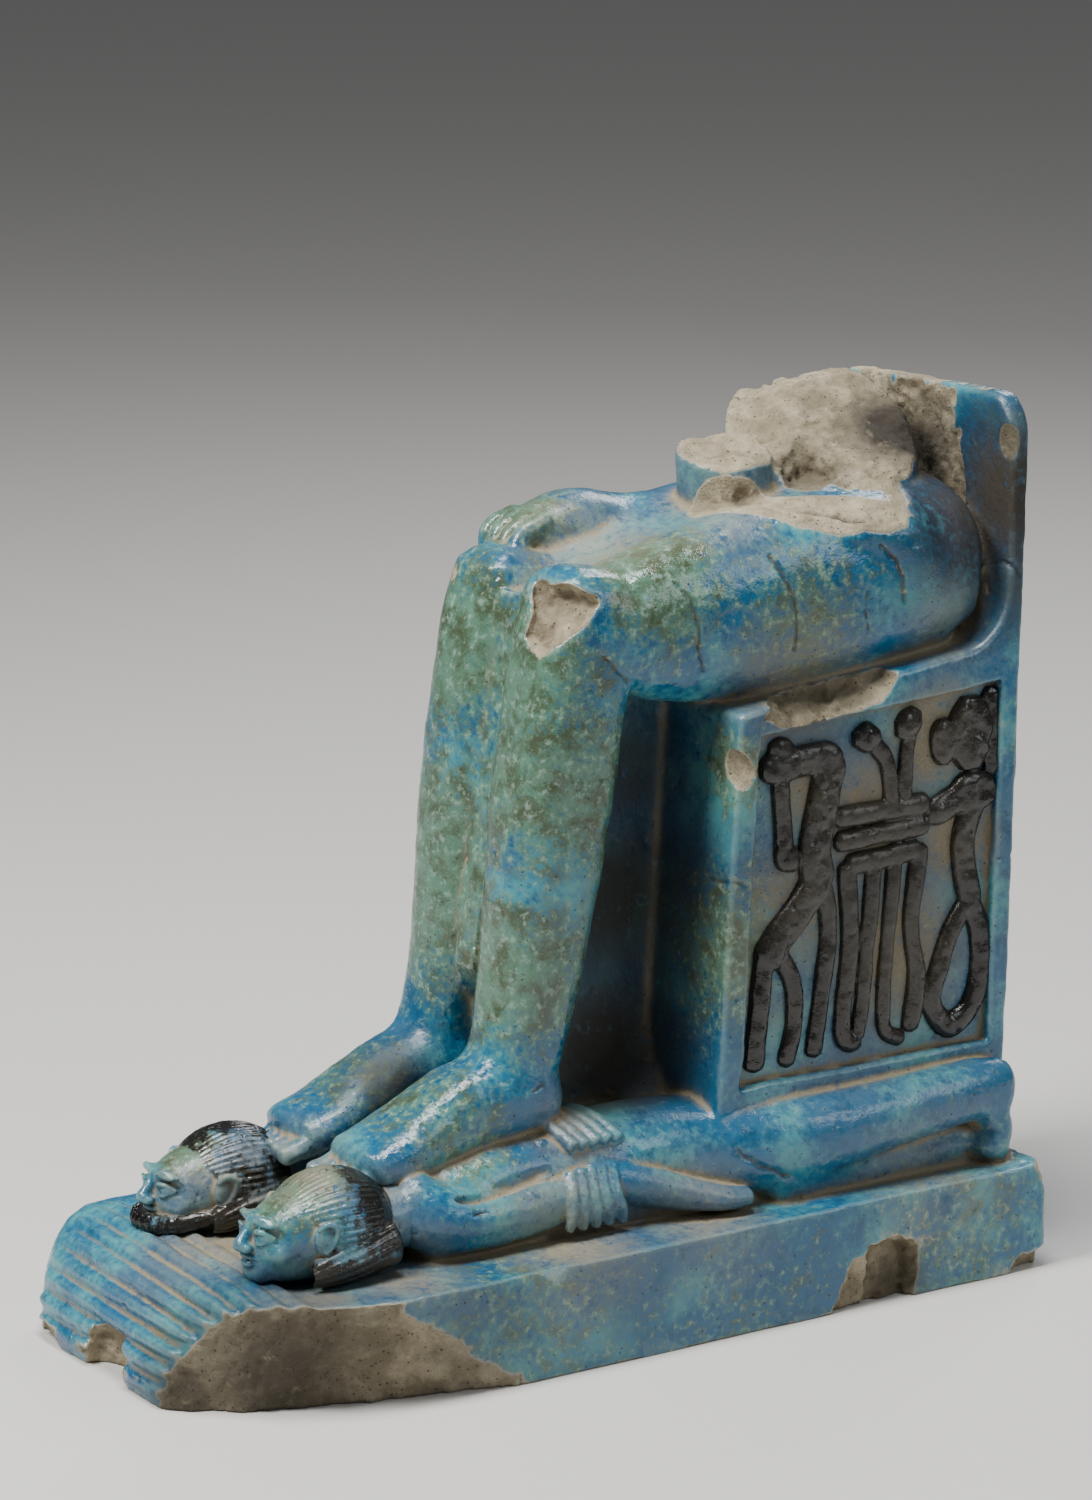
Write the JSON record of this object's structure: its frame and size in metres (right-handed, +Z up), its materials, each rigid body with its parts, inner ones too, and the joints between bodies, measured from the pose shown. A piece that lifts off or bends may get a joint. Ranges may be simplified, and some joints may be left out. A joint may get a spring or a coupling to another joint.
{
  "type": "egyptian statuette",
  "caption": "Broken glazed statuette: lap and legs of a seated figure on a block throne, its feet on bound captives, all on a long plinth with a ribbed front.",
  "frame": {"origin": "middle of the plinth's underside, on the ground", "axes": "+Z up; the figure and the ribbed front face -Y, the throne's back is towards +Y, and the figure's left side is +X"},
  "size_m": [0.116, 0.2724, 0.242],
  "materials": {
    "blue_glaze": "glossy blue-green alkaline glaze over a pale gritty body, with black glazed details and worn bare breaks"
  },
  "bodies": {
    "root": {"statuette": "blue_glaze"}
  },
  "joints": []
}
